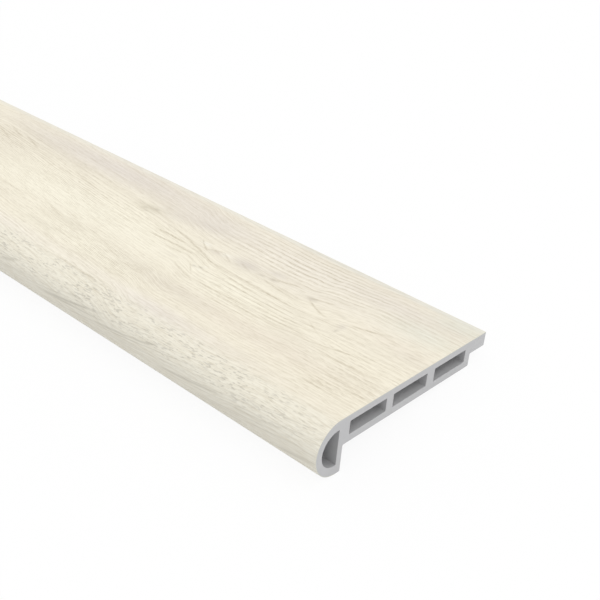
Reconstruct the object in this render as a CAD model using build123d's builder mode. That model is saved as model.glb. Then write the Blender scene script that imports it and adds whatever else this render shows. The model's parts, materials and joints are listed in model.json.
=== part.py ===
from build123d import *
import os
from math import atan2, cos, sin

# Vinyl stair nosing: a hollow extruded PVC profile whose tread and half-round nose are wrapped
# in a wood-print film. The section is drawn flat, with u running from the front of the nose to
# the rear edge and v upwards from the tread surface, and is then leaned back to the angle at
# which the profile lies on a level floor, on the heels of its lip and of its tread.

# Driving dimensions in millimetres
stock_length = 1200.0  # one cut length of the profile
overall_depth = 110.0  # front of the nose to the rear edge
overall_height = 25.4  # tread surface to the bottom of the lip
film_thickness = 0.3  # printed film with its wear layer
tread_thickness = 12.9  # tread surface to the underside that lies on the step
top_wall = 2.9  # wall between the film and the chambers
bottom_wall = 3.4  # wall between the chambers and the underside
lip_depth = 15.25  # front of the nose to the back of the lip
lip_wall = 2.85  # wall between the nose chamber and the back of the lip
nose_wall = 3.1  # wall between the film and the front of the nose chamber
nose_chamber_height = 16.4  # flat back of the D-shaped nose chamber
root_wall = 3.2  # back of the lip to the first chamber
front_web = 4.35  # between the first and second chambers
rear_web = 5.15  # between the second and third chambers
heel_wall = 3.9  # behind the third chamber
rear_lip_length = 10.75  # reach of the thin rear lip over the floor plank
rear_lip_thickness = 6.7  # film included
edge_radius = 0.4  # outer corners that the die leaves rounded
root_radius = 0.5  # inner corners under the tread and the rear lip
chamber_radius = 0.4  # corners inside the chambers

# The nose is a half round as tall as the whole section
nose_radius = overall_height / 2
core_nose_radius = nose_radius - film_thickness
nose_centre = (nose_radius, -nose_radius)

# Heel of the tread, from which the rear lip reaches back
heel_depth = overall_depth - rear_lip_length

# Three equal chambers fill the tread between its walls and webs
chamber_top = -(film_thickness + top_wall)
chamber_bottom = -(tread_thickness - bottom_wall)
chamber_height = chamber_top - chamber_bottom
first_chamber = lip_depth + root_wall
chamber_width = (heel_depth - heel_wall - first_chamber - front_web - rear_web) / 3
second_chamber = first_chamber + chamber_width + front_web
third_chamber = second_chamber + chamber_width + rear_web
chamber_mid_height = (chamber_top + chamber_bottom) / 2
chamber_centres = [
    (front + chamber_width / 2, chamber_mid_height)
    for front in (first_chamber, second_chamber, third_chamber)
]

# D-shaped chamber inside the nose: a flat back closed by one arc
nose_chamber_front = film_thickness + nose_wall
nose_chamber_back = lip_depth - lip_wall
nose_chamber_top = -nose_radius + nose_chamber_height / 2
nose_chamber_bottom = -nose_radius - nose_chamber_height / 2

# Lying on the floor, the profile leans back until both heels touch
lean = atan2(overall_height - tread_thickness, heel_depth - lip_depth)
lip_heel_drop = overall_height - edge_radius
floor_to_tread_front = (
    (lip_depth - edge_radius) * sin(lean) + lip_heel_drop * cos(lean) + edge_radius
)
nose_front_y = nose_radius * (cos(lean) - sin(lean) - 1)
rear_edge_y = overall_depth * cos(lean)
section_plane = Plane(
    origin=(
        -stock_length / 2,
        -(nose_front_y + rear_edge_y) / 2,
        floor_to_tread_front,
    ),
    x_dir=(0, cos(lean), -sin(lean)),
    z_dir=(1, 0, 0),
)

# Hollow core, extruded in grey PVC
with BuildPart() as core_profile:
    with BuildSketch(section_plane):
        with BuildLine():
            Line((overall_depth, -film_thickness), (nose_radius, -film_thickness))
            CenterArc(nose_centre, core_nose_radius, 90, 180)
            # shoulder that the lower edge of the film butts against
            Line(
                (nose_radius, -overall_height + film_thickness),
                (nose_radius, -overall_height),
            )
            FilletPolyline(
                (nose_radius, -overall_height),
                (lip_depth, -overall_height),
                (lip_depth, -tread_thickness),
                (heel_depth, -tread_thickness),
                (heel_depth, -rear_lip_thickness),
                (overall_depth, -rear_lip_thickness),
                (overall_depth, -film_thickness),
                radius=[edge_radius, root_radius, edge_radius, root_radius, edge_radius],
            )
        make_face()
    extrude(amount=stock_length)
    with BuildSketch(section_plane) as chambers:
        with BuildLine():
            ThreePointArc(
                (nose_chamber_back, nose_chamber_top),
                (nose_chamber_front, -nose_radius),
                (nose_chamber_back, nose_chamber_bottom),
            )
            Line(
                (nose_chamber_back, nose_chamber_bottom),
                (nose_chamber_back, nose_chamber_top),
            )
        make_face()
        fillet(chambers.vertices(), radius=chamber_radius)
        with Locations(*chamber_centres):
            RectangleRounded(chamber_width, chamber_height, chamber_radius)
    extrude(amount=stock_length, mode=Mode.SUBTRACT)

# Wood-print film, bonded over the tread and round the nose to the shoulder under the lip
with BuildPart() as wood_film:
    with BuildSketch(section_plane):
        with BuildLine():
            Line((overall_depth, 0), (nose_radius, 0))
            CenterArc(nose_centre, nose_radius, 90, 180)
            Line(
                (nose_radius, -overall_height),
                (nose_radius, -overall_height + film_thickness),
            )
            CenterArc(nose_centre, core_nose_radius, 270, -180)
            Line((nose_radius, -film_thickness), (overall_depth, -film_thickness))
            Line((overall_depth, -film_thickness), (overall_depth, 0))
        make_face()
    extrude(amount=stock_length)

core_profile.part.label = "core_profile"
wood_film.part.label = "wood_film"

os.makedirs("parts", exist_ok=True)
export_step(core_profile.part, "parts/core_profile.step")
export_step(wood_film.part, "parts/wood_film.step")
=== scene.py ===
"""Looks of the vinyl stair nosing: a hollow grey extrusion wrapped in a whitewashed-oak film."""

from __future__ import annotations

import json
import logging
import math
from dataclasses import dataclass
from enum import Enum
from typing import Any, Iterable, Sequence, Union

import bpy
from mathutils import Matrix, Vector

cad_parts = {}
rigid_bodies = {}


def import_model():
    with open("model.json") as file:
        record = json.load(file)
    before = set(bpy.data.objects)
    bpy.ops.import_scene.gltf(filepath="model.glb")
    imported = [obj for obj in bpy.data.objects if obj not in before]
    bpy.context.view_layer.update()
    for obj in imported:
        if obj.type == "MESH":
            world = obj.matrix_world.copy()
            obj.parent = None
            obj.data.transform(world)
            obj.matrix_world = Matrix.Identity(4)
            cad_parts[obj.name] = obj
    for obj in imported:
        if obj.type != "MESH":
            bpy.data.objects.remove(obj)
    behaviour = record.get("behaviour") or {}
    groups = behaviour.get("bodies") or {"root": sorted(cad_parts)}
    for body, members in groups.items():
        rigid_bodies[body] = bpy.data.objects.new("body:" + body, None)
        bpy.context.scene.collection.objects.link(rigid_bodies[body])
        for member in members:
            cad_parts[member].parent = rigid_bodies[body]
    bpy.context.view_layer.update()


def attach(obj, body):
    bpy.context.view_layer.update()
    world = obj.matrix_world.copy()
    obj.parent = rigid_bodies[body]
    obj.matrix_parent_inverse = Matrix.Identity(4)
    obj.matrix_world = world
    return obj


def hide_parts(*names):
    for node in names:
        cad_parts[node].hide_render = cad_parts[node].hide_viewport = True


LOG = logging.getLogger("stair_nosing")

Point = tuple[float, float]
Place = tuple[float, float, float]
Colour = tuple[float, float, float, float]

MM = 0.001
QUARTER_TURN = 90.0
HALF_TURN = 180.0

# Numbers of the standard display curve
CURVE_TOP = 255.0
CURVE_TOE = 0.04045
CURVE_TOE_SLOPE = 12.92
CURVE_SHIFT = 0.055
CURVE_POWER = 2.4


class Slot(Enum):
    """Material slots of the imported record."""

    CORE = "grey_pvc"
    FILM = "wood_print_film"


def linear(red: float, green: float, blue: float) -> Colour:
    """Turn a display colour into the renderer's own.

    Args:
        red: Red from 0 to 255, as a screen shows it.
        green: Green, likewise.
        blue: Blue, likewise.

    Returns:
        The linear colour with full opacity.
    """

    def channel(value: float) -> float:
        """Undo the display curve of one channel."""
        share = value / CURVE_TOP
        if share <= CURVE_TOE:
            return share / CURVE_TOE_SLOPE
        return ((share + CURVE_SHIFT) / (1 + CURVE_SHIFT)) ** CURVE_POWER

    return (channel(red), channel(green), channel(blue), 1.0)


@dataclass(frozen=True)
class NosingSection:
    """The profile's section in metres, drawn flat: u from the nose front to the rear, v up from the tread."""

    length: float = 1.2
    depth: float = 0.110
    height: float = 0.0254
    film: float = 0.0003
    tread: float = 0.0129
    top_wall: float = 0.0029
    bottom_wall: float = 0.0034
    lip: float = 0.01525
    lip_wall: float = 0.00285
    nose_wall: float = 0.0031
    nose_chamber: float = 0.0164
    root_wall: float = 0.0032
    webs: Point = (0.00435, 0.00515)
    heel_wall: float = 0.0039
    rear_lip: float = 0.01075
    rear_lip_thick: float = 0.0067
    edge_radius: float = 0.0004
    root_radius: float = 0.0005
    chamber_radius: float = 0.0004
    nose_steps: int = 64
    corner_steps: int = 5
    cut_fade: Point = (0.00004, 0.00001)

    @property
    def nose_radius(self) -> float:
        """Radius of the half-round nose."""
        return self.height / 2

    @property
    def heel(self) -> float:
        """Distance from the nose front to the heel of the tread."""
        return self.depth - self.rear_lip

    @property
    def lean(self) -> float:
        """Angle at which the profile lies on its two heels."""
        return math.atan2(self.height - self.tread, self.heel - self.lip)

    @property
    def place(self) -> Vector:
        """Where the section's corner of nose front and tread level stands in the row frame."""
        cosine, sine = math.cos(self.lean), math.sin(self.lean)
        front = self.nose_radius * (cosine - sine - 1)
        rise = (
            (self.lip - self.edge_radius) * sine
            + (self.height - self.edge_radius) * cosine
            + self.edge_radius
        )
        return Vector((-self.length / 2, -(front + self.depth * cosine) / 2, rise))

    @property
    def cut_span(self) -> Point:
        """Millimetres from the middle of the length between which the look of a cut end sets in."""
        first, last = self.cut_fade
        return ((self.length / 2 - first) / MM, (self.length / 2 - last) / MM)

    @staticmethod
    def arc(centre: Point, radius: float, start: float, sweep: float, steps: int) -> list[Point]:
        """Points along an arc.

        Args:
            centre: Centre of the arc.
            radius: Its radius.
            start: First angle in degrees.
            sweep: Angle swept in degrees, negative for clockwise.
            steps: Number of chords.

        Returns:
            The points, both ends included.
        """
        turns = (math.radians(start + sweep * i / steps) for i in range(steps + 1))
        return [(centre[0] + radius * math.cos(t), centre[1] + radius * math.sin(t)) for t in turns]

    def rounded(self, before: Point, corner: Point, after: Point, radius: float) -> list[Point]:
        """Points that round one right-angled corner.

        Args:
            before: Point before the corner.
            corner: The sharp corner.
            after: Point after the corner.
            radius: Radius of the rounding.

        Returns:
            Points from the first tangent to the second.
        """
        here = Vector(corner)
        back = (Vector(before) - here).normalized() * radius
        ahead = (Vector(after) - here).normalized() * radius
        centre = here + back + ahead
        points = []
        for i in range(self.corner_steps + 1):
            turn = math.radians(QUARTER_TURN * i / self.corner_steps)
            spot = centre - ahead * math.cos(turn) - back * math.sin(turn)
            points.append((spot.x, spot.y))
        return points

    def core_outline(self) -> list[Point]:
        """Outer loop of the grey core.

        Returns:
            The closed loop's points, from the rear edge over the nose and back underneath.
        """
        nose = self.nose_radius
        loop = [(self.depth, -self.film)]
        loop += self.arc((nose, -nose), nose - self.film, QUARTER_TURN, HALF_TURN, self.nose_steps)
        path = [
            (nose, -self.height),
            (self.lip, -self.height),
            (self.lip, -self.tread),
            (self.heel, -self.tread),
            (self.heel, -self.rear_lip_thick),
            (self.depth, -self.rear_lip_thick),
            (self.depth, -self.film),
        ]
        edge, root = self.edge_radius, self.root_radius
        loop.append(path[0])
        for i, radius in enumerate((edge, root, edge, root, edge), start=1):
            loop += self.rounded(path[i - 1], path[i], path[i + 1], radius)
        return loop

    def film_outline(self) -> list[Point]:
        """Loop round the film's thickness.

        Returns:
            The closed loop's points.
        """
        nose = self.nose_radius
        outer = self.arc((nose, -nose), nose, QUARTER_TURN, HALF_TURN, self.nose_steps)
        inner = self.arc((nose, -nose), nose - self.film, -QUARTER_TURN, -HALF_TURN, self.nose_steps)
        return [(self.depth, 0.0), *outer, *inner, (self.depth, -self.film)]

    def chambers(self) -> list[list[Point]]:
        """Loops of the three tread chambers and the D-shaped nose chamber.

        Returns:
            One closed loop for each chamber.
        """
        first = self.lip + self.root_wall
        width = (self.heel - self.heel_wall - first - sum(self.webs)) / (len(self.webs) + 1)
        top = -(self.film + self.top_wall)
        bottom = -(self.tread - self.bottom_wall)
        loops = []
        front = first
        for gap in (*self.webs, 0.0):
            corners = [(front, top), (front, bottom), (front + width, bottom), (front + width, top)]
            loop: list[Point] = []
            for i, corner in enumerate(corners):
                loop += self.rounded(
                    corners[i - 1], corner, corners[(i + 1) % len(corners)], self.chamber_radius
                )
            loops.append(loop)
            front += width + gap
        return [*loops, self.nose_chamber_loop()]

    def nose_chamber_loop(self) -> list[Point]:
        """Loop of the D-shaped chamber, one arc closed by a flat back.

        Returns:
            The closed loop's points.
        """
        front = self.film + self.nose_wall
        back = self.lip - self.lip_wall
        half = self.nose_chamber / 2
        width = back - front
        radius = (width * width + half * half) / (2 * width)
        centre = (front + radius, -self.nose_radius)
        start = math.degrees(math.atan2(half, back - centre[0]))
        return self.arc(centre, radius, start, 2 * (HALF_TURN - start), self.nose_steps)


class Nodes:
    """A node tree of any kind, to which one method adds every node."""

    def __init__(self, tree: bpy.types.NodeTree) -> None:
        """Take a new tree and empty it."""
        self.tree = tree
        self.tree.nodes.clear()

    def node(
        self,
        kind: str,
        settings: dict[str, Any] | None = None,
        links: dict[Any, Any] | None = None,
    ) -> bpy.types.Node:
        """Add one node.

        Args:
            kind: Node type.
            settings: Properties set first.
            links: Values, fields, output sockets or nodes, which give their first output, for its
                inputs by name or index.

        Returns:
            The node.
        """
        made = self.tree.nodes.new(kind)
        for name, value in (settings or {}).items():
            setattr(made, name, value)
        for key, value in (links or {}).items():
            source = value.socket if isinstance(value, Field) else value
            if isinstance(source, bpy.types.Node):
                source = source.outputs[0]
            if isinstance(source, bpy.types.NodeSocket):
                self.tree.links.new(source, made.inputs[key])
            else:
                made.inputs[key].default_value = source
        return made


class ExtrusionTree(Nodes):
    """Geometry Nodes that run a flat section of wires out to a closed length of stock."""

    NAME = "extruded_stock"
    UPRIGHT: Place = (math.pi / 2, 0.0, math.pi / 2)

    def __init__(self) -> None:
        """Build the tree once."""
        super().__init__(bpy.data.node_groups.new(self.NAME, "GeometryNodeTree"))
        self.ids: dict[str, str] = {}
        self._interface()
        self._wire()

    def _interface(self) -> None:
        """Name the tree's inputs and its output."""
        face = self.tree.interface
        face.new_socket("Section", in_out="INPUT", socket_type="NodeSocketGeometry")
        face.new_socket("Stock", in_out="OUTPUT", socket_type="NodeSocketGeometry")
        for name, kind in (
            ("Length", "NodeSocketFloat"),
            ("Lean", "NodeSocketFloat"),
            ("Place", "NodeSocketVector"),
            ("Sharp Angle", "NodeSocketFloat"),
            ("Weld", "NodeSocketFloat"),
            ("Finish", "NodeSocketMaterial"),
        ):
            socket = face.new_socket(name, in_out="INPUT", socket_type=kind)
            self.ids[name] = socket.identifier

    def _wire(self) -> None:
        """Fill the section, run it out, close it, stand it in place and dress it."""
        given = self.node("NodeGroupInput").outputs
        wires = self.node("GeometryNodeMeshToCurve", {}, {"Mesh": given["Section"]})
        face = self.node("GeometryNodeFillCurve", {}, {"Curve": wires})
        far = self.node("ShaderNodeCombineXYZ", {}, {"Z": given["Length"]})
        run = self.node(
            "GeometryNodeExtrudeMesh",
            {"mode": "FACES"},
            {"Mesh": face, "Offset": far, "Offset Scale": 1.0, "Individual": False},
        )
        near = self.node("GeometryNodeFlipFaces", {}, {"Mesh": face})
        both = self.node("GeometryNodeJoinGeometry")
        for part in (run, near):
            self.tree.links.new(part.outputs["Mesh"], both.inputs["Geometry"])
        closed = self.node(
            "GeometryNodeMergeByDistance", {}, {"Geometry": both, "Distance": given["Weld"]}
        )
        upright = self.node(
            "GeometryNodeTransform", {}, {"Geometry": closed, "Rotation": self.UPRIGHT}
        )
        back = self.node("ShaderNodeMath", {"operation": "MULTIPLY"}, {0: given["Lean"], 1: -1.0})
        turn = self.node("ShaderNodeCombineXYZ", {}, {"X": back})
        leant = self.node(
            "GeometryNodeTransform",
            {},
            {"Geometry": upright, "Rotation": turn, "Translation": given["Place"]},
        )
        angle = self.node("GeometryNodeInputMeshEdgeAngle").outputs["Unsigned Angle"]
        sharp = self.node(
            "FunctionNodeCompare",
            {"data_type": "FLOAT", "operation": "LESS_THAN"},
            {"A": angle, "B": given["Sharp Angle"]},
        )
        shade = "GeometryNodeSetShadeSmooth"
        smooth = self.node(shade, {"domain": "FACE"}, {"Geometry": leant, "Shade Smooth": True})
        creased = self.node(shade, {"domain": "EDGE"}, {"Geometry": smooth, "Shade Smooth": sharp})
        real = self.node("GeometryNodeRealizeInstances", {}, {"Geometry": creased})
        dressed = self.node(
            "GeometryNodeSetMaterial", {}, {"Geometry": real, "Material": given["Finish"]}
        )
        self.node("NodeGroupOutput", {}, {"Stock": dressed})

    def run(
        self,
        name: str,
        loops: Sequence[Sequence[Point]],
        values: dict[str, Any],
    ) -> bpy.types.Object:
        """Make one length of stock from its section.

        Args:
            name: Name of the piece.
            loops: Closed loops of the section.
            values: The tree's named inputs.

        Returns:
            A plain mesh object at the origin.
        """
        verts: list[Place] = []
        edges: list[tuple[int, int]] = []
        for loop in loops:
            first, count = len(verts), len(loop)
            verts += [(u, v, 0.0) for u, v in loop]
            edges += [(first + i, first + (i + 1) % count) for i in range(count)]
        wires = bpy.data.meshes.new(name + "_section")
        wires.from_pydata(verts, edges, [])
        maker = bpy.data.objects.new(name + "_maker", wires)
        bpy.context.scene.collection.objects.link(maker)
        modifier = maker.modifiers.new(self.NAME, "NODES")
        modifier.node_group = self.tree
        for key, value in values.items():
            modifier[self.ids[key]] = value
        graph = bpy.context.evaluated_depsgraph_get()
        mesh = bpy.data.meshes.new_from_object(maker.evaluated_get(graph), depsgraph=graph)
        mesh.name = name
        maker.modifiers.remove(modifier)
        bpy.data.objects.remove(maker)
        bpy.data.meshes.remove(wires)
        piece = bpy.data.objects.new(name, mesh)
        bpy.context.scene.collection.objects.link(piece)
        return piece


Number = Union["Field", float, int]


class Field:
    """A number that varies over a surface, whose operators add Math nodes."""

    def __init__(self, graph: Graph, socket: bpy.types.NodeSocket) -> None:
        """Wrap one output socket."""
        self.graph = graph
        self.socket = socket

    def math(self, operation: str, *values: Number) -> Field:
        """Add one Math node.

        Args:
            operation: The node's operation.
            values: Its inputs in order.

        Returns:
            The node's result.
        """
        node = self.graph.node("ShaderNodeMath", {"operation": operation}, dict(enumerate(values)))
        return Field(self.graph, node.outputs[0])

    def __add__(self, other: Number) -> Field:
        """Sum."""
        return self.math("ADD", self, other)

    def __radd__(self, other: Number) -> Field:
        """Sum, reflected."""
        return self.math("ADD", other, self)

    def __sub__(self, other: Number) -> Field:
        """Difference."""
        return self.math("SUBTRACT", self, other)

    def __rsub__(self, other: Number) -> Field:
        """Difference, reflected."""
        return self.math("SUBTRACT", other, self)

    def __mul__(self, other: Number) -> Field:
        """Product."""
        return self.math("MULTIPLY", self, other)

    def __rmul__(self, other: Number) -> Field:
        """Product, reflected."""
        return self.math("MULTIPLY", other, self)

    def __truediv__(self, other: Number) -> Field:
        """Quotient."""
        return self.math("DIVIDE", self, other)

    def __rtruediv__(self, other: Number) -> Field:
        """Quotient, reflected."""
        return self.math("DIVIDE", other, self)

    def __abs__(self) -> Field:
        """Size without sign."""
        return self.math("ABSOLUTE", self)

    def fract(self) -> Field:
        """Part after the whole number."""
        return self.math("FRACT", self)

    def wave(self) -> Field:
        """Sine of an angle in radians, raised to run from 0 to 1."""
        return self.math("SINE", self).between(0.5, 1.0)

    def root(self) -> Field:
        """Square root."""
        return self.math("SQRT", self)

    def least(self, other: Number) -> Field:
        """The smaller of two."""
        return self.math("MINIMUM", self, other)

    def most(self, other: Number) -> Field:
        """The larger of two."""
        return self.math("MAXIMUM", self, other)

    def times_plus(self, factor: Number, addend: Number) -> Field:
        """Product with one number plus another."""
        return self.math("MULTIPLY_ADD", self, factor, addend)

    def fade(self) -> Field:
        """Natural exponential of the negative."""
        return self.math("POWER", 1.0 / math.e, self)

    def between(self, low: float, high: float) -> Field:
        """One number at 0 and another at 1, and evenly from the first to the second."""
        return self.times_plus(high - low, low)

    def ramp(self, start: float, reach: float) -> Field:
        """Distance past a start, held between 0 and a reach."""
        return (self - start).most(0.0).least(reach)

    def line(self, width: float) -> Field:
        """A line at every half, which fades out within a share of the way to the whole numbers."""
        return (abs(self.fract() - 0.5) * 2.0).step(width, 0.0)

    def step(self, low: float, high: float) -> Field:
        """Rise smoothly from 0 to 1.

        Args:
            low: Where the rise starts.
            high: Where it ends; below low it falls instead.

        Returns:
            The smooth step.
        """
        rising = low < high
        node = self.graph.node(
            "ShaderNodeMapRange",
            {"interpolation_type": "SMOOTHSTEP"},
            {
                "Value": self,
                "From Min": low if rising else high,
                "From Max": high if rising else low,
                "To Min": 0.0 if rising else 1.0,
                "To Max": 1.0 if rising else 0.0,
            },
        )
        return Field(self.graph, node.outputs["Result"])


@dataclass(frozen=True)
class Lumps:
    """A noise: lump sizes in millimetres, seed, octaves, weight of the finer ones and limits of its mask."""

    along: float
    across: float
    seed: float = 0.0
    octaves: float = 1.0
    weight: float = 0.5
    span: Point = (0.0, 1.0)


@dataclass(frozen=True)
class Swing(Lumps):
    """A noise that moves something to and fro, by its size in millimetres from end to end."""

    size: float = 1.0


class Graph(Nodes):
    """One material's nodes."""

    NOISE_MIDDLE = 0.5

    # Sockets of a Mix node for colours
    MIX_FACTOR = 0
    MIX_UNDER = 6
    MIX_OVER = 7
    MIX_RESULT = 2

    def __init__(self, name: str) -> None:
        """Start a material without any nodes."""
        self.material = bpy.data.materials.new(name)
        self.material.use_nodes = True
        super().__init__(self.material.node_tree)

    def position(self) -> tuple[Field, Field, Field]:
        """Object coordinates in metres.

        Returns:
            X, Y and Z as fields.
        """
        place = self.node("ShaderNodeTexCoord").outputs["Object"]
        split = self.node("ShaderNodeSeparateXYZ", {}, {"Vector": place})
        return tuple(Field(self, out) for out in split.outputs)

    def noise(self, lumps: Lumps, x: Field, y: Field, z: Field | None = None) -> Field:
        """Smooth noise about one half.

        Args:
            lumps: Sizes of the noise.
            x: Millimetres along.
            y: Millimetres across.
            z: Millimetres the third way, with lumps as across. Without it the seed stands there.

        Returns:
            The noise from 0 to 1.
        """
        spot = (
            x / lumps.along,
            y / lumps.across,
            lumps.seed if z is None else z / lumps.across,
        )
        where = self.node("ShaderNodeCombineXYZ", {}, dict(enumerate(spot)))
        made = self.node(
            "ShaderNodeTexNoise",
            {"noise_dimensions": "3D", "normalize": True},
            {
                "Vector": where,
                "Scale": 1.0,
                "Detail": lumps.octaves,
                "Roughness": lumps.weight,
            },
        )
        return Field(self, made.outputs[0])

    def mask(self, lumps: Lumps, x: Field, y: Field) -> Field:
        """A flat noise cut to a mask at its limits."""
        return self.noise(lumps, x, y).step(*lumps.span)

    def swing(self, swing: Swing, x: Field, y: Field) -> Field:
        """A flat noise to and fro about 0."""
        return (self.noise(swing, x, y) - self.NOISE_MIDDLE) * swing.size

    def lay(self, amount: Number, under: Any, over: Any) -> bpy.types.NodeSocket:
        """Lay one colour over another.

        Args:
            amount: How much of the upper one, from 0 to 1.
            under: Colour or socket below.
            over: Colour or socket above.

        Returns:
            The mixed colour's socket.
        """
        made = self.node(
            "ShaderNodeMix",
            {"data_type": "RGBA", "clamp_factor": True},
            {self.MIX_FACTOR: amount, self.MIX_UNDER: under, self.MIX_OVER: over},
        )
        return made.outputs[self.MIX_RESULT]

    def shade(
        self,
        colour: Any,
        roughness: Number,
        height: Field,
        relief: float,
        constants: dict[str, Any],
    ) -> bpy.types.Material:
        """Close the material with one Principled shader.

        Args:
            colour: Base colour or its socket.
            roughness: Roughness.
            height: Relief of the surface, about 0 to 1.
            relief: Depth in metres of one unit of relief.
            constants: Other sockets of the shader, the same all over.

        Returns:
            The finished material.
        """
        bump = self.node(
            "ShaderNodeBump", {}, {"Strength": 1.0, "Distance": relief, "Height": height}
        )
        shader = self.node(
            "ShaderNodeBsdfPrincipled",
            {},
            {
                "Base Color": colour,
                "Roughness": roughness,
                "Normal": bump,
                **constants,
            },
        )
        self.node("ShaderNodeOutputMaterial", {}, {"Surface": shader})
        return self.material


@dataclass(frozen=True)
class Zone:
    """A soft oval of the print, in millimetres from the cut end and across from the rear edge."""

    along: float
    across: float
    reach_along: float
    reach_across: float
    amount: float


@dataclass(frozen=True)
class Tint(Zone):
    """A zone of another tone."""

    colour: Colour


@dataclass(frozen=True)
class Stroke:
    """One drawn line of the print, in millimetres, from its far end to its near end."""

    far: Point
    near: Point
    sag: float
    width: float
    dark: float


@dataclass
class Sheet:
    """The film unrolled, whose print repeats along it and whose drawn lines taper."""

    along: Field
    across: Field
    repeat: float
    taper: float = 0.85

    def __post_init__(self) -> None:
        """Count the repeats."""
        self.turns = self.along / self.repeat

    @property
    def place(self) -> Field:
        """Millimetres along within one repeat."""
        return self.turns.fract() * self.repeat

    def past(self, place: float, unit: float) -> Field:
        """Distance along from a place of the print, the shorter way round the repeat.

        Args:
            place: Millimetres from the cut end.
            unit: Millimetres to one unit of the result.

        Returns:
            The distance, positive away from the cut end.
        """
        turn = (self.turns + (0.5 - place / self.repeat)).fract()
        return turn.times_plus(self.repeat / unit, -0.5 * self.repeat / unit)

    def patch(self, zone: Zone) -> Field:
        """How far a point lies inside a zone.

        Args:
            zone: The soft oval.

        Returns:
            The size of its amount at its middle, falling smoothly to 0.
        """
        dx = self.past(zone.along, zone.reach_along)
        dy = self.across.times_plus(1 / zone.reach_across, -zone.across / zone.reach_across)
        return dy.times_plus(dy, dx.times_plus(dx, -math.log(abs(zone.amount)))).fade()

    def stroke(self, mark: Stroke) -> Field:
        """How far a point lies on a drawn line.

        Args:
            mark: The line.

        Returns:
            Its darkness along its middle, falling off beside it and towards its ends.
        """
        half = (mark.far[0] - mark.near[0]) / 2 * self.taper
        rise = (mark.far[1] - mark.near[1]) / 2 * self.taper / mark.width
        middle = (mark.far[1] + mark.near[1]) / 2 + mark.sag
        reach = self.past((mark.far[0] + mark.near[0]) / 2, half)
        square = reach * reach
        aside = self.across.times_plus(1 / mark.width, -middle / mark.width)
        aside = reach.times_plus(-rise, aside)
        aside = square.times_plus(mark.sag * self.taper**2 / mark.width, aside)
        return aside.times_plus(aside, square.times_plus(square, -math.log(mark.dark))).fade()

    def zones(self, zones: Sequence[Zone], ground: Number) -> Number:
        """Add several zones up.

        Args:
            zones: The soft ovals, each with its amount.
            ground: What they are added to.

        Returns:
            The sum.
        """
        total = ground
        for zone in zones:
            patch = self.patch(zone)
            total = total - patch if zone.amount < 0 else total + patch
        return total

    def strokes(self, marks: Sequence[Stroke]) -> Number:
        """Add several drawn lines up.

        Args:
            marks: The lines, each with its darkness.

        Returns:
            The sum.
        """
        total: Number = 0.0
        for mark in marks:
            total = total + self.stroke(mark)
        return total


TAUPE = linear(211, 201, 189)
PLUM = linear(196, 187, 183)
LILAC = linear(227, 219, 213)
OLIVE = linear(205, 198, 177)
CREAM = linear(255, 250, 231)
PEARL = linear(250, 244, 235)
MIST = linear(222, 226, 216)
ROSE = linear(236, 223, 207)
SLATE = linear(200, 203, 194)
DARK = linear(158, 148, 132)
WHITE = linear(254, 252, 244)


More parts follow.
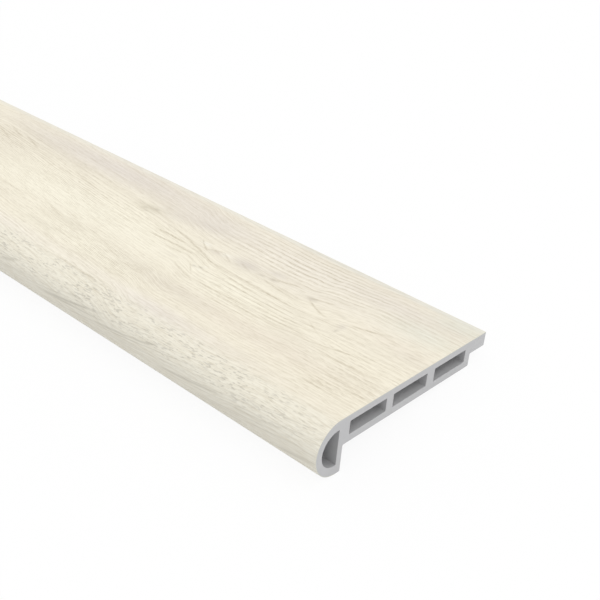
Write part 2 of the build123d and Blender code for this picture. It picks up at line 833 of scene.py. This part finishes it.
@dataclass(frozen=True)
class GrowthRings:
    """Growth rings of a flat-sawn board, counted both ways from its heart line, in millimetres."""

    heart: float = 38.5
    sides: Point = (30, 46)
    sway: Swing = Swing(80, 30, 3.1, size=3.0)
    ripple: Swing = Swing(18, 6, 7.7, size=1.4)
    shiver: Swing = Swing(4, 1.5, 5.2, size=0.6)

    # Before the next repeat the far shifts fade out and the near ones set in again
    way_back: Point = (480, 330)
    seam: Point = (440, 480)

    # Both sides climb away from the cut end, from a start over a reach
    front_climb: Point = (140, 190)
    rear_climb: Point = (165, 165)
    climb_slope: float = 0.12

    # In front of the heart the rings start wide, close up and then keep one width
    front_near: Point = (70, 35)
    front_shift: float = 3.0
    front_far: Point = (116, 138)
    front_jump: float = 5.0
    front_wide: float = 33.0
    front_start: float = 0.0567
    front_gain: float = 0.00755
    front_ring: float = 1.85

    # Behind it they keep one width, and bend and slide along the print
    rear_ring: float = 3.07
    rear_phase: float = 0.552
    rear_drift: float = 0.6
    rear_bend: Point = (130, 35)
    bend_length: float = 155.0
    rear_slide: Point = (95, 30)
    slide_slope: float = 0.06
    rear_near: Point = (47, 38)
    rear_shift: float = 1.7
    rear_skip: Point = (60, 46)
    squeeze_near: Point = (76, 58)
    squeeze: float = 0.13
    shifts: tuple[Zone, ...] = (
        Zone(64, 20, 14, 60, 1.3),
        Zone(95, 14, 50, 5, 0.8),
        Zone(95, 27.5, 50, 3, -0.5),
        Zone(79, 20, 3.4, 18, 0.45),
        Zone(71.5, 20, 3.4, 18, -0.45),
    )

    def count(self, graph: Graph, sheet: Sheet) -> tuple[Field, Field]:
        """Count the rings.

        Args:
            graph: The film's nodes.
            sheet: The unrolled film.

        Returns:
            Ring number, whose halves are the dark lines, and millimetres across the flow of grain.
        """
        along, across, place = sheet.along, sheet.across, sheet.place
        sway = graph.swing(self.sway, along, across)
        ripple = graph.swing(self.ripple, along, across)
        shiver = graph.swing(self.shiver, along, across)
        drift = sway + ripple + shiver
        back = place.step(*self.way_back)
        seam = place.step(*self.seam)

        def near(span: Point, size: float) -> Field:
            """A shift next to the cut end, which the seam brings in again."""
            return (place.step(*span) + seam) * size

        climb = place.ramp(*self.front_climb) * self.climb_slope
        front = drift + near(self.front_near, self.front_shift)
        front = front + (place.step(*self.front_far) * self.front_jump + climb) * back
        ahead = (across - self.heart + front).most(0.0)
        wide = ahead.least(self.front_wide)
        forward = wide.times_plus(self.front_gain, self.front_start) * wide
        forward = forward + (ahead - wide) / self.front_ring

        bend = place.ramp(*self.rear_bend)
        slide = place.ramp(*self.rear_slide) * self.slide_slope
        climb = place.ramp(*self.rear_climb) * self.climb_slope
        rear = drift * self.rear_drift + (bend * bend / self.bend_length + slide + climb) * back
        rear = rear + near(self.rear_near, self.rear_shift)
        rear = rear + near(self.rear_skip, self.rear_ring)
        rear = sheet.zones(self.shifts, rear)
        behind = across * (1.0 + near(self.squeeze_near, self.squeeze)) + rear
        backward = (self.heart - behind) / self.rear_ring - self.rear_phase
        side = across.step(*self.sides)
        return forward.most(backward), behind + (across + front - behind) * side


@dataclass(frozen=True)
class Shares:
    """How strongly each layer of the print and of the painted shade is laid; pairs are for plain and for
    ragged grain.
    """

    cloud: float = 0.45
    # turned: a greener print tone with painted shade where the nose turns down
    turned: float = 0.75
    # low: painted shade on the underside of the nose
    low: float = 0.09
    pore_ground: float = 0.35
    grain: Point = (0.24, 0.12)
    fibre: Point = (0.32, 0.42)
    lines: float = 0.94
    drawn: float = 0.66
    pores: float = 0.37
    streaks: float = 0.36
    slim: float = 0.28
    nose_marks: float = 0.44
    # edge: a line of painted shade along the rear edge
    edge: float = 0.12
    rim: float = 0.3


@dataclass(frozen=True)
class WoodFilm:
    """Printed whitewashed oak under a low-sheen wear layer, with painted shade on the nose and along the rear
    edge.
    """

    section: NosingSection
    rings: GrowthRings = GrowthRings()
    shares: Shares = Shares()
    repeat: float = 480.0
    base: Colour = linear(247, 240, 221)
    line: Colour = linear(179, 166, 138)
    pore: Colour = linear(161, 156, 146)
    pore_ground: Colour = linear(238, 237, 226)
    # Colour of the nose's printed streaks, also laid as painted shade under the nose
    streak_and_shade: Colour = linear(163, 158, 144)
    # Greener tone of the nose, with painted shade where it turns down
    nose_tone_and_shade: Colour = linear(221, 219, 209)
    # Painted shade along the rear edge, and the film's own colour at its cut ends
    edge: Colour = linear(203, 204, 193)
    rim: Colour = linear(236, 237, 230)

    # Ring lines: widths, how far they run whole, and where they fade and break into beads
    wide_line: float = 0.36
    thin_line: float = 0.7
    thin_to_ring: float = 2.0
    heart_calm: Point = (3, 9)
    bold_ground: float = 0.22
    close_ground: float = 0.1
    whole_span: Point = (56, 42)
    whole: Point = (0.28, 0.53)
    solid: Point = (0.45, 0.15)
    drawn_solid: Point = (0.55, 1.0)
    fade: Lumps = Lumps(11, 1.7, 11.3, 2.0, span=(0.3, 0.6))
    bead: Lumps = Lumps(2.4, 0.8, 2.2, span=(0.3, 0.62))
    waver: Swing = Swing(3.0, 1.3, 8.8, 2.0, size=1.2)

    # Ground of the wood
    fibre: Lumps = Lumps(5.5, 0.45, 1.7, 2.0, 0.65, (0.44, 0.78))
    grain: Lumps = Lumps(22, 0.85, 5.9, 2.0, 0.6, (0.44, 0.78))
    cloud: Lumps = Lumps(60, 12, 9.2, 2.0)
    cloud_top: float = 0.6

    # Pores in a band along the top of the nose, with a few strays all over
    dash: Lumps = Lumps(3.0, 0.6, 2.4, span=(0.53, 0.67))
    clump: Lumps = Lumps(10, 3, 4.4, span=(0.33, 0.6))
    pore_slope: float = 0.06
    pore_rise: Point = (96, 103)
    pore_fall: Point = (118, 110)
    pore_clump: Point = (0.25, 1.0)
    pore_stray: float = 0.12

    # Streaks of the nose print, a greener tone with painted shade where the nose turns down, painted shade
    # under it, and painted shade and a pale band along the rear edge
    slim: Lumps = Lumps(70, 0.42, 9.9, span=(0.56, 0.7))
    streaks: Lumps = Lumps(90, 0.9, 6.6, 3.0, 0.7, (0.5, 0.74))
    streak_slope: float = 0.13
    streak_span: Point = (102, 114)
    turned_span: Point = (105, 118)
    low_shade_span: Point = (112, 121)
    edge_shade_span: Point = (2.6, 0.4)
    rim_span: Point = (5.0, 1.0)

    # Wear layer
    pore_depth: float = 0.9
    fibre_depth: float = 0.35
    relief: float = 0.00005
    roughness: Point = (0.46, 0.6)
    index: float = 1.46

    # Tones and drawn lines of the print
    tints: tuple[Tint, ...] = (
        Tint(70, 95, 70, 9, 0.12, TAUPE),
        Tint(50, 1.6, 85, 1.3, 0.36, SLATE),
        Tint(105, 38, 60, 6, 0.1, TAUPE),
        Tint(88, 19, 48, 17, 0.5, PEARL),
        Tint(232, 12, 80, 11, 0.72, LILAC),
        Tint(150, 18, 26, 11, 0.45, LILAC),
        Tint(35, 13, 30, 9, 0.45, LILAC),
        Tint(16, 24, 18, 8, 0.4, MIST),
        Tint(170, 27, 13, 6, 0.24, PLUM),
        Tint(150, 23, 10, 3.5, 0.2, PLUM),
        Tint(110, 37.6, 8.5, 4.2, 0.5, PLUM),
        Tint(94, 33, 5, 2.5, 0.32, PLUM),
        Tint(91.5, 38.3, 2.6, 1.3, 0.42, DARK),
        Tint(98, 39.2, 2.4, 1.1, 0.3, DARK),
        Tint(68, 37.8, 3.2, 1.7, 0.4, DARK),
        Tint(50, 39, 4.0, 1.1, 0.4, OLIVE),
        Tint(43.6, 46, 2.2, 2.4, 0.3, PLUM),
        Tint(43.2, 50.3, 0.9, 1.3, 0.36, DARK),
        Tint(128, 39.6, 4.5, 1.9, 0.5, TAUPE),
        Tint(137.5, 36.8, 3, 1.3, 0.5, WHITE),
        Tint(122.5, 38.2, 2.4, 1.4, 0.45, WHITE),
        Tint(121.4, 55.9, 1.6, 0.8, 0.85, DARK),
        Tint(124.6, 57.1, 1.6, 0.7, 0.75, DARK),
        Tint(120, 54, 1.4, 0.6, 0.6, WHITE),
        Tint(121, 58, 2.2, 1.0, 0.45, WHITE),
        Tint(140, 57, 4, 1.2, 0.4, TAUPE),
        Tint(185, 31, 9, 4, 0.5, OLIVE),
        Tint(188, 33, 1.6, 0.8, 0.3, DARK),
        Tint(185, 35.2, 1.5, 0.9, 0.3, DARK),
        Tint(182, 30.2, 1.9, 1.0, 0.3, DARK),
        Tint(288, 17, 24, 10, 0.2, TAUPE),
        Tint(205, 56, 80, 16, 0.9, CREAM),
        Tint(170, 83, 50, 12, 0.75, CREAM),
        Tint(195, 74, 12, 3.2, 0.25, OLIVE),
        Tint(203, 85, 14, 2.6, 0.25, OLIVE),
        Tint(92, 60, 34, 11, 0.6, CREAM),
        Tint(60, 79, 45, 7, 0.3, ROSE),
        Tint(112, 79, 34, 6, 0.3, TAUPE),
        Tint(110, 96, 60, 4, 0.4, PEARL),
        Tint(240, 97, 60, 5, 0.5, PEARL),
        Tint(105, 98, 22, 4, 0.4, LILAC),
        Tint(8, 6, 14, 6, 0.5, MIST),
        Tint(22, 40, 24, 4, 0.2, ROSE),
        Tint(6, 43, 14, 4, 0.22, TAUPE),
        Tint(50, 70, 18, 9, 0.18, TAUPE),
        Tint(50, 3, 90, 4, 0.13, TAUPE),
        Tint(6, 13, 12, 6, 0.14, TAUPE),
        Tint(38, 32, 40, 4.5, 0.15, TAUPE),
        Tint(238, 21.5, 42, 4.5, 0.16, TAUPE),
        Tint(300, 38, 24, 8, 0.14, TAUPE),
    )
    marks: tuple[Stroke, ...] = (
        Stroke((93, 38.8), (77, 33.4), -0.6, 0.85, 0.75),
        Stroke((97, 41.2), (71, 44.2), 0.35, 0.55, 0.75),
        Stroke((70, 37.6), (56.5, 33.2), 0.2, 0.7, 0.8),
        Stroke((69.5, 38.2), (52, 45.2), 1.3, 0.55, 0.75),
        Stroke((42.5, 41.9), (26, 36.8), 0.5, 0.6, 0.9),
        Stroke((142.5, 34.6), (131.5, 41.7), 0.8, 0.5, 0.75),
        Stroke((142, 35), (134, 34.6), -0.4, 0.6, 0.3),
        Stroke((134, 40.8), (124.5, 36.6), -0.2, 0.6, 0.55),
        Stroke((126, 36.2), (115.5, 42), 0.3, 0.6, 0.55),
        Stroke((114, 37), (102.5, 41.6), 0.4, 0.7, 0.5),
        Stroke((165, 36.6), (123, 48), -1.0, 0.7, 0.85),
        Stroke((166, 44.2), (141, 44.6), -0.3, 0.65, 1.0),
        Stroke((143, 44.6), (110, 49), 0.9, 0.55, 0.5),
        Stroke((166, 50.1), (131, 49.6), -0.6, 0.65, 0.85),
        Stroke((149, 53), (136, 52.7), -0.1, 0.55, 0.65),
        Stroke((136, 60.6), (115, 66.8), 0.6, 0.6, 0.55),
        Stroke((128.5, 56), (119.5, 63.6), 0.2, 0.4, 0.5),
        Stroke((116, 48), (69, 49.8), 0.3, 0.5, 0.75),
        Stroke((116.5, 51.2), (86, 53.6), 0.5, 0.5, 0.7),
        Stroke((117, 54.6), (69, 56.6), 1.2, 0.5, 0.65),
        Stroke((119, 62), (70, 62.8), 0.4, 0.5, 0.45),
        Stroke((117, 66.4), (76, 65.4), -0.3, 0.55, 0.75),
        Stroke((109, 68.1), (69, 67.7), -0.1, 0.5, 0.65),
        Stroke((72, 67.7), (41, 65), -0.1, 0.5, 0.55),
        Stroke((105, 71.8), (84, 72.2), 0.1, 0.45, 0.5),
        Stroke((70, 60), (44, 58), -0.2, 0.45, 0.4),
        Stroke((36, 68.2), (7, 66.8), -0.2, 0.5, 0.6),
        Stroke((37, 62), (18, 59.8), -0.2, 0.45, 0.45),
        Stroke((50, 21.6), (21, 21.5), -0.4, 0.5, 0.5),
        Stroke((182, 99.8), (128, 100.6), -0.3, 0.5, 0.5),
        Stroke((80, 62.8), (48, 58.8), 0.5, 0.5, 0.45),
        Stroke((80, 65), (43, 63.4), -0.2, 0.5, 0.45),
        Stroke((57, 52.2), (47, 57.8), 0.3, 0.5, 0.4),
        Stroke((43, 64.6), (21, 58.4), 0.3, 0.5, 0.6),
        Stroke((25, 57.2), (16, 56.2), 0.0, 0.45, 0.45),
        Stroke((14, 70.2), (1, 69.7), 0.0, 0.5, 0.45),
        Stroke((21, 72.6), (2, 71.9), 0.1, 0.5, 0.5),
        Stroke((13, 75.9), (2, 75), 0.0, 0.5, 0.5),
        Stroke((27, 78.9), (6, 77.9), 0.1, 0.5, 0.65),
        Stroke((13, 80.7), (-1, 80.1), 0.0, 0.55, 0.8),
        Stroke((28, 83), (12, 82.5), 0.0, 0.45, 0.45),
        Stroke((27, 85.6), (13, 85), 0.1, 0.5, 0.65),
        Stroke((29, 88.2), (16, 87.6), 0.0, 0.5, 0.7),
        Stroke((264, 70.3), (240, 71.3), 0.0, 0.5, 0.5),
        Stroke((227, 67), (203, 73.4), 0.2, 0.5, 0.5),
        Stroke((306, 23.6), (285, 30), -0.4, 0.6, 0.7),
        Stroke((324, 21.4), (306, 27), -0.3, 0.65, 0.7),
        Stroke((329, 27), (308, 33.5), -0.3, 0.65, 0.75),
        Stroke((249, 33), (220, 38.4), -0.2, 0.5, 0.5),
    )
    nose_marks: tuple[Stroke, ...] = (
        Stroke((172, 118.4), (129, 112.2), 0.3, 0.6, 1.1),
        Stroke((168, 118.2), (122, 114.4), 0.2, 0.45, 0.9),
        Stroke((132, 117.2), (103, 113.6), 0.4, 0.45, 0.9),
        Stroke((106, 114.2), (90, 110.6), 0.4, 0.5, 1.0),
        Stroke((92, 119.8), (48, 114.3), 0.2, 0.5, 1.0),
        Stroke((21, 122.4), (-1, 119), 0.1, 0.8, 0.7),
        Stroke((152, 111.6), (140, 111.5), 0.0, 0.7, 0.6),
        Stroke((203, 114.5), (190, 111.3), 0.2, 0.9, 0.7),
        Stroke((48, 116.6), (18, 113.2), 0.2, 0.6, 0.4),
    )
    # Where rings are bolder or closer, grain is ragged, pores are worn and the ground is bright
    bold: tuple[Zone, ...] = (
        Zone(88, 17, 46, 18, 0.75),
        Zone(90, 60, 36, 15, 0.4),
        Zone(18, 68, 28, 20, 0.25),
        Zone(20, 18, 24, 14, 0.15),
    )
    close: tuple[Zone, ...] = (
        Zone(235, 55, 75, 32, 0.45),
        Zone(155, 82, 32, 11, 0.6),
        Zone(14, 83, 20, 10, 0.3),
        Zone(80, 20, 60, 16, 0.2),
        Zone(318, 30, 30, 12, 0.5),
    )
    ragged: Zone = Zone(20, 72, 50, 26, 1.0)
    worn: Zone = Zone(4, 104, 20, 14, 0.55)
    bright: tuple[Zone, ...] = (
        Zone(245, 61, 45, 11, 0.8),
        Zone(150, 62, 26, 8, 0.5),
        Zone(222, 33, 20, 5, 0.5),
    )

    def sheet(self, graph: Graph) -> Sheet:
        """Unroll the film.

        Args:
            graph: The film's nodes.

        Returns:
            Millimetres from the cut end and millimetres across from the rear edge.
        """
        x, y, z = graph.position()
        place, lean = self.section.place, self.section.lean
        out, up = (y - place.y) / MM, (z - place.z) / MM
        u = out * math.cos(lean) - up * math.sin(lean)
        v = out * math.sin(lean) + up * math.cos(lean)
        nose = self.section.nose_radius / MM
        turn = u.math("ARCTAN2", nose - u, v + nose).most(0.0)
        flat = (u - nose).most(0.0)
        across = (self.section.depth / MM - nose) - flat + turn * nose
        along = self.section.length / 2 / MM - x / MM
        return Sheet(along, across, self.repeat)

    def material(self) -> bpy.types.Material:
        """Build the film's material.

        Returns:
            The material.
        """
        graph = Graph("whitewashed_oak_film")
        sheet = self.sheet(graph)
        along, across = sheet.along, sheet.across
        ring, flow = self.rings.count(graph, sheet)

        wide = ring.line(self.wide_line)
        thin = (ring * self.thin_to_ring).line(self.thin_line)
        fade = graph.mask(self.fade, along, flow)
        whole = across.step(*self.whole_span).between(*self.whole)
        ragged = sheet.patch(self.ragged)
        solid = ragged.between(*self.solid)
        bead = graph.mask(self.bead, along, flow)
        heart = abs(across - self.rings.heart).step(*self.heart_calm)
        lines = wide * sheet.zones(self.bold, self.bold_ground) * heart
        lines = lines + thin * sheet.zones(self.close, self.close_ground)
        lines = lines * (whole + (1.0 - whole) * fade) * (solid + (1.0 - solid) * bead)
        rough = Sheet(along, across + graph.swing(self.waver, along, across), self.repeat)
        drawn = rough.strokes(self.marks) * bead.between(*self.drawn_solid)

        fibre = graph.noise(self.fibre, along, flow)
        grain = graph.noise(self.grain, along, flow)
        cloud = graph.noise(self.cloud, along, flow)

        lift = across - along * self.pore_slope
        zone = across.step(*self.pore_rise) * across.step(*self.pore_fall)
        dash = graph.mask(self.dash, along, lift)
        clump = graph.mask(self.clump, along, across)
        pores = dash * (zone * clump.between(*self.pore_clump) + self.pore_stray)
        pores = pores * (1.0 - sheet.patch(self.worn))

        nose = across.step(*self.streak_span)
        turned = across.step(*self.turned_span)
        low = across.step(*self.low_shade_span)
        slant = across - along * self.streak_slope
        slim = graph.mask(self.slim, along, slant) * nose
        streaks = graph.mask(self.streaks, along, slant) * nose

        share = self.shares
        colour: Any = self.base
        for tint in self.tints:
            colour = graph.lay(sheet.patch(tint), colour, tint.colour)
        calm = 1.0 - sheet.zones(self.bright, 0.0)
        clouds = (self.cloud_top - cloud).most(0.0) * share.cloud * calm
        colour = graph.lay(clouds, colour, TAUPE)
        # Painted shade: the nose turns greyer and darker as it curves down, partly a greener print tone
        colour = graph.lay(turned * share.turned, colour, self.nose_tone_and_shade)
        # Painted shade: the underside of the nose is darker
        colour = graph.lay(low * share.low, colour, self.streak_and_shade)
        colour = graph.lay(zone * share.pore_ground, colour, self.pore_ground)
        grained = grain.step(*self.grain.span) * ragged.between(*share.grain) * calm
        colour = graph.lay(grained, colour, self.line)
        fibred = fibre.step(*self.fibre.span) * ragged.between(*share.fibre) * calm
        colour = graph.lay(fibred, colour, self.line)
        colour = graph.lay(lines * share.lines, colour, self.line)
        colour = graph.lay(drawn * share.drawn, colour, self.line)
        colour = graph.lay(pores * share.pores, colour, self.pore)
        colour = graph.lay(streaks * share.streaks + slim * share.slim, colour, self.streak_and_shade)
        colour = graph.lay(sheet.strokes(self.nose_marks) * share.nose_marks, colour, self.streak_and_shade)
        # Painted shade: a thin darker line along the rear edge
        colour = graph.lay(across.step(*self.edge_shade_span) * share.edge, colour, self.edge)
        colour = graph.lay(across.step(*self.rim_span) * share.rim, colour, self.rim)
        half = self.section.length / 2 / MM
        colour = graph.lay(abs(along - half).step(*self.section.cut_span), colour, self.edge)

        height = 1.0 - pores * self.pore_depth - fibre * self.fibre_depth
        dullness = fibre.between(*self.roughness)
        return graph.shade(colour, dullness, height, self.relief, {"IOR": self.index})


@dataclass(frozen=True)
class GreyCore:
    """Extruded grey PVC: faint die lines along it, a darker skin that is partly painted shade for the
    chambers, and a fine saw finish on its cut ends.
    """

    section: NosingSection
    grey: Colour = linear(187, 187, 188)
    # Darker skin colour: partly die lines and specks, partly painted shade that darkens the chamber insides
    dull_and_shade: Colour = linear(177, 177, 178)
    pale: Colour = linear(198, 198, 198)
    die: Lumps = Lumps(300, 0.8, octaves=2.0, weight=0.6, span=(0.5, 0.8))
    mottle: Lumps = Lumps(30, 9, octaves=2.0, span=(0.4, 0.75))
    speck: Lumps = Lumps(0.5, 0.5, span=(0.56, 0.76))
    # Share of the darker skin: painted shade for the chambers, varied by the die lines
    skin_dull_and_shade: Point = (0.7, 1.0)
    mottle_share: float = 0.3
    speck_share: float = 0.22

    # Saw arcs: blade centre in millimetres, pitch in radians to a millimetre, and how they waver and fade
    blade: Point = (-30.0, -150.0)
    arc_pitch: float = 7.0
    wobble: Lumps = Lumps(6, 6, 0.3)
    wobble_size: float = 0.6
    bite: Lumps = Lumps(8, 3, 8.1)
    saw_share: float = 0.4

    # Relief and roughness
    die_depth: float = 0.6
    saw_depth: float = 0.5
    speck_depth: float = 0.12
    relief: float = 0.00004
    roughness: float = 0.42
    sawn_roughness: float = 0.2
    die_roughness: float = 0.1
    index: float = 1.52

    def material(self) -> bpy.types.Material:
        """Build the core's material.

        Returns:
            The material.
        """
        graph = Graph("extruded_grey_pvc")
        x, y, z = graph.position()
        along, out, up = x / MM, y / MM, z / MM
        sawn = abs(along).step(*self.section.cut_span)
        skin = 1.0 - sawn

        die = graph.noise(self.die, along, out, up)
        mottle = graph.noise(self.mottle, along, out, up)
        speck = graph.noise(self.speck, along, out, up)

        aside, above = out - self.blade[0], up - self.blade[1]
        reach = (aside * aside + above * above).root()
        wobble = graph.noise(self.wobble, out, up) * self.wobble_size
        arcs = (reach * self.arc_pitch + wobble).wave()
        saw = arcs * graph.noise(self.bite, out, up)

        # Painted shade: the extruded skin, chamber insides included, is darker than the cut ends; the die
        # lines vary it
        dulled_and_shaded = skin * die.step(*self.die.span).between(*self.skin_dull_and_shade)
        colour = graph.lay(dulled_and_shaded, self.grey, self.dull_and_shade)
        colour = graph.lay(mottle.step(*self.mottle.span) * self.mottle_share, colour, self.pale)
        colour = graph.lay(saw * sawn * self.saw_share, colour, self.pale)
        colour = graph.lay(speck.step(*self.speck.span) * self.speck_share, colour, self.dull_and_shade)

        height = die * skin * self.die_depth + saw * sawn * self.saw_depth + speck * self.speck_depth
        dullness = self.roughness + self.sawn_roughness * sawn + self.die_roughness * die
        return graph.shade(colour, dullness, height, self.relief, {"IOR": self.index})


@dataclass
class StairNosing:
    """The two bonded pieces of the nosing."""

    section: NosingSection = NosingSection()
    sharp_angle: float = math.radians(10)
    weld: float = 1e-6
    body: str = "root"

    def values(self, finish: bpy.types.Material) -> dict[str, Any]:
        """Inputs of the extrusion for one piece.

        Args:
            finish: The piece's material.

        Returns:
            The tree's inputs by name.
        """
        return {
            "Length": self.section.length,
            "Lean": self.section.lean,
            "Place": self.section.place,
            "Sharp Angle": self.sharp_angle,
            "Weld": self.weld,
            "Finish": finish,
        }

    def seat(self, piece: bpy.types.Object, node: str) -> None:
        """Put a finished piece in the place of its solid.

        Args:
            piece: The plain mesh object.
            node: The solid that it stands for.
        """
        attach(piece, self.body)
        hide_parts(node)
        LOG.info("%s: %d faces", piece.name, len(piece.data.polygons))

    def build(self) -> None:
        """Make the core and the film and seat both."""
        stock = ExtrusionTree()
        core = stock.run(
            "nosing_core",
            [self.section.core_outline(), *self.section.chambers()],
            self.values(GreyCore(self.section).material()),
        )
        self.seat(core, "core_profile")
        film = stock.run(
            "nosing_film",
            [self.section.film_outline()],
            self.values(WoodFilm(self.section).material()),
        )
        self.seat(film, "wood_film")


@dataclass(frozen=True)
class Studio:
    """Pale floor, plain soft light and the camera."""

    camera_place: Place = (0.782632, -0.255151, 0.281982)
    camera_turn: Place = (54.3759, 1.0624, 42.6040)
    lens: float = 61.23
    sensor: float = 36.0
    clip: Point = (0.01, 50.0)
    white: Colour = (1.0, 1.0, 1.0, 1.0)
    floor_size: float = 12.0
    floor_tone: Colour = linear(250, 250, 250)
    floor_shadow: float = 0.08
    world_light: float = 0.944
    lamp_place: Place = (2.4, 0.9, 3.6)
    lamp_target: Place = (0.5, 0.0, 0.02)
    lamp_size: float = 2.0
    lamp_power: float = 20.2

    def build(self) -> None:
        """Set up the camera, the floor, the world and the lamp."""
        self.camera()
        self.floor()
        self.world()
        self.lamp()

    def camera(self) -> None:
        """Stand the camera where the photograph was taken."""
        data = bpy.data.cameras.new("camera")
        data.lens = self.lens
        data.sensor_width = self.sensor
        data.clip_start, data.clip_end = self.clip
        eye = bpy.data.objects.new("camera", data)
        eye.location = self.camera_place
        eye.rotation_euler = [math.radians(turn) for turn in self.camera_turn]
        bpy.context.scene.collection.objects.link(eye)
        bpy.context.scene.camera = eye

    def floor(self) -> None:
        """Lay a white floor that keeps the shadow and is open from below."""
        half = self.floor_size / 2
        mesh = bpy.data.meshes.new("floor")
        square = [(-half, -half, 0.0), (half, -half, 0.0), (half, half, 0.0), (-half, half, 0.0)]
        mesh.from_pydata(square, [], [range(len(square))])
        floor = bpy.data.objects.new("floor", mesh)
        bpy.context.scene.collection.objects.link(floor)
        graph = Graph("white_floor")
        rays = graph.node("ShaderNodeLightPath").outputs
        seen = Field(graph, rays["Is Camera Ray"]).most(Field(graph, rays["Is Glossy Ray"]))
        seen = seen.most(Field(graph, rays["Is Transmission Ray"]))
        matt = graph.node("ShaderNodeBsdfDiffuse", {}, {"Color": self.floor_tone})
        white = graph.node("ShaderNodeEmission", {}, {"Color": self.white, "Strength": 1.0})
        mixed = graph.node(
            "ShaderNodeMixShader",
            {},
            {0: seen * (1.0 - self.floor_shadow), 1: matt, 2: white},
        )
        behind = graph.node("ShaderNodeNewGeometry").outputs["Backfacing"]
        clear = graph.node("ShaderNodeBsdfTransparent")
        top = graph.node("ShaderNodeMixShader", {}, {0: behind, 1: mixed, 2: clear})
        graph.node("ShaderNodeOutputMaterial", {}, {"Surface": top})
        mesh.materials.append(graph.material)

    def world(self) -> None:
        """Light the scene evenly and show white behind it."""
        world = bpy.data.worlds.new("studio")
        bpy.context.scene.world = world
        world.use_nodes = True
        nodes = Nodes(world.node_tree)
        rays = nodes.node("ShaderNodeLightPath").outputs
        strength = nodes.node(
            "ShaderNodeMapRange",
            {},
            {"Value": rays["Is Camera Ray"], "To Min": self.world_light, "To Max": 1.0},
        )
        sky = nodes.node("ShaderNodeBackground", {}, {"Color": self.white, "Strength": strength})
        nodes.node("ShaderNodeOutputWorld", {}, {"Surface": sky})

    def lamp(self) -> None:
        """Hang one square softbox high up, past the cut end and to the rear."""
        data = bpy.data.lights.new("high_softbox", "AREA")
        data.size = self.lamp_size
        data.energy = self.lamp_power
        box = bpy.data.objects.new("high_softbox", data)
        box.location = self.lamp_place
        aim = Vector(self.lamp_target) - Vector(self.lamp_place)
        box.rotation_euler = aim.to_track_quat("-Z", "Y").to_euler()
        bpy.context.scene.collection.objects.link(box)


def corners(box: Iterable[Vector]) -> list[list[float]]:
    """A box's two corners as plain lists."""
    return [list(corner) for corner in box]


def main() -> None:
    """Load the frame and build the nosing and the studio."""
    logging.basicConfig(level=logging.INFO, format="%(name)s: %(message)s")
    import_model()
    bpy.context.scene.view_settings.view_transform = "Standard"
    StairNosing().build()
    Studio().build()


if __name__ == "__main__":
    main()
